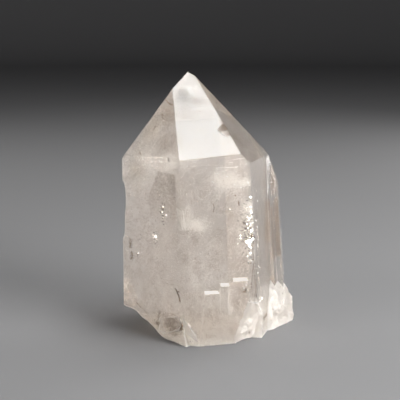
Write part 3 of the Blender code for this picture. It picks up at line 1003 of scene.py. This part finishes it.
def glint():
    """A crack's air film, which reflects like a mirror."""
    n = Nodes("quartz_glint")
    tint = n.blend(n.cloud(3.0), (0.90, 0.88, 0.85), (1.0, 0.99, 0.97))
    roughness = n.span(n.cloud(2.0), 0.3, 0.7, 0.03, 0.12)
    values = {"Base Color": tint, "Roughness": roughness, "Metallic": 1.0}
    n.surface(n.add("ShaderNodeBsdfPrincipled", values))
    return n.material


def plain_material(name, colour, roughness):
    n = Nodes(name)
    tint = n.blend(n.cloud(90.0, 2.0), colour, tuple(c * 0.97 for c in colour))
    n.surface(n.add("ShaderNodeBsdfPrincipled", {"Base Color": tint, "Roughness": roughness}))
    return n.material


def studio_floor():
    """A round floor that sweeps up at its rim."""
    profile = [(0.0, 0.0), (FLOOR_RADIUS, 0.0)]
    for i in range(1, SWEEP_STEPS + 1):
        turn = math.radians(90.0 * i / SWEEP_STEPS)
        across, up = math.sin(turn), 1 - math.cos(turn)
        profile.append((FLOOR_RADIUS + SWEEP_RADIUS * across, SWEEP_RADIUS * up))
    profile.append((FLOOR_RADIUS + SWEEP_RADIUS, WALL_HEIGHT))
    bm = bmesh.new()
    line = [bm.verts.new((r * MM, 0.0, z * MM)) for r, z in profile]
    edges = [bm.edges.new(pair) for pair in zip(line, line[1:])]
    bmesh.ops.spin(
        bm, geom=line + edges, axis=(0.0, 0.0, 1.0), cent=(0.0, 0.0, 0.0), steps=FLOOR_STEPS,
        angle=math.tau, use_merge=True,
    )
    bmesh.ops.remove_doubles(bm, verts=bm.verts, dist=MERGE_DISTANCE)
    bmesh.ops.recalc_face_normals(bm, faces=bm.faces)
    for face in bm.faces:
        face.smooth = True
    mesh = bpy.data.meshes.new("studio_floor")
    bm.to_mesh(mesh)
    bm.free()
    paper = plain_material("floor_paper", FLOOR_COLOUR, FLOOR_ROUGHNESS)
    floor = make_object("studio_floor", mesh, paper)


def aimed(thing, place, aim):
    thing.location = Vector(place) * MM
    thing.rotation_euler = ((Vector(aim) - Vector(place)).to_track_quat("-Z", "Y")).to_euler()


def softboxes():
    for name, (place, (width, height), radiance, colour) in SOFTBOXES.items():
        light = bpy.data.lights.new(name, "AREA")
        light.color = colour
        light.shape = "RECTANGLE"
        light.size = width * MM
        light.size_y = height * MM
        light.energy = RADIANCE_WATTS * light.size * light.size_y * radiance
        lamp = bpy.data.objects.new(name, light)
        lamp.visible_camera = False
        bpy.context.scene.collection.objects.link(lamp)
        aimed(lamp, place, SOFTBOX_AIM)


def world_light():
    world = bpy.data.worlds.new("studio_world")
    world.use_nodes = True
    world.node_tree.nodes["Background"].inputs["Color"].default_value = (*WORLD_LIGHT, 1.0)
    bpy.context.scene.world = world


def camera():
    data = bpy.data.cameras.new("camera")
    data.lens = LENS
    data.sensor_width = SENSOR
    data.clip_start, data.clip_end = NEAREST, FARTHEST
    view = bpy.data.objects.new("camera", data)
    bpy.context.scene.collection.objects.link(view)
    lift = math.radians(CAMERA_ELEVATION)
    away = Vector((0.0, -math.cos(lift), math.sin(lift))) * CAMERA_DISTANCE
    view.location = (Vector(CAMERA_AIM) + away) * MM
    view.rotation_euler = (math.radians(90.0 - CAMERA_ELEVATION), 0.0, 0.0)
    bpy.context.scene.camera = view


def light_paths():
    """Enough bounces for light to find its way through the crystal and back."""
    cycles = bpy.context.scene.cycles
    cycles.max_bounces = 96
    cycles.transmission_bounces = 80
    cycles.glossy_bounces = 60
    cycles.diffuse_bounces = 12
    cycles.volume_bounces = 48
    cycles.transparent_max_bounces = 128
    cycles.sample_clamp_indirect = 12.0
    bpy.context.scene.view_settings.view_transform = "Standard"


bpy.context.view_layer.update()
camera()
world_light()
softboxes()
studio_floor()
light_paths()
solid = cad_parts[NODE]
shell = crystal_shell(solid, quartz())
tree = surface_tree(shell)
haze(shell, milky_filling())
white = milk()
clouds(tree, "milky_clouds", CLOUDS, white)
clouds(tree, "pale_clouds", PALE_CLOUDS, white)
bubble_veils(tree, white)
smoky_and_shade = smoke_and_shade()
clouds(tree, "smoky_clouds", SMOKY_CLOUDS, smoky_and_shade)
stains(tree, "smoky_streaks", SMOKY_STREAKS, STAIN_DEPTH, smoky_and_shade)
curtain(tree, "milky_curtain", MILKY_CURTAIN, white)
curtain(tree, "smoky_curtain", SMOKY_CURTAIN, smoky_and_shade)
# The window's greyish flakes are painted shade, and the wedge's white flakes a painted highlight
window_and_wedge(tree, smoky_and_shade, white)
crushed_breaks(shell, white)
edge_nicks(solid, white)
brown = stain()
stains(tree, "mineral_stains", STAINS, STAIN_DEPTH, brown)
stains(tree, "foot_stains", FOOT_STAINS, FOOT_STAIN_DEPTH, brown)
# White healed cracks, and painted highlights along the front plate's upright edges
stains(tree, "white_strokes", WHITE_STROKES, STAIN_DEPTH, white)
specks(tree, shell, brown)
glinting_cracks(tree, glint())

bpy.context.view_layer.update()
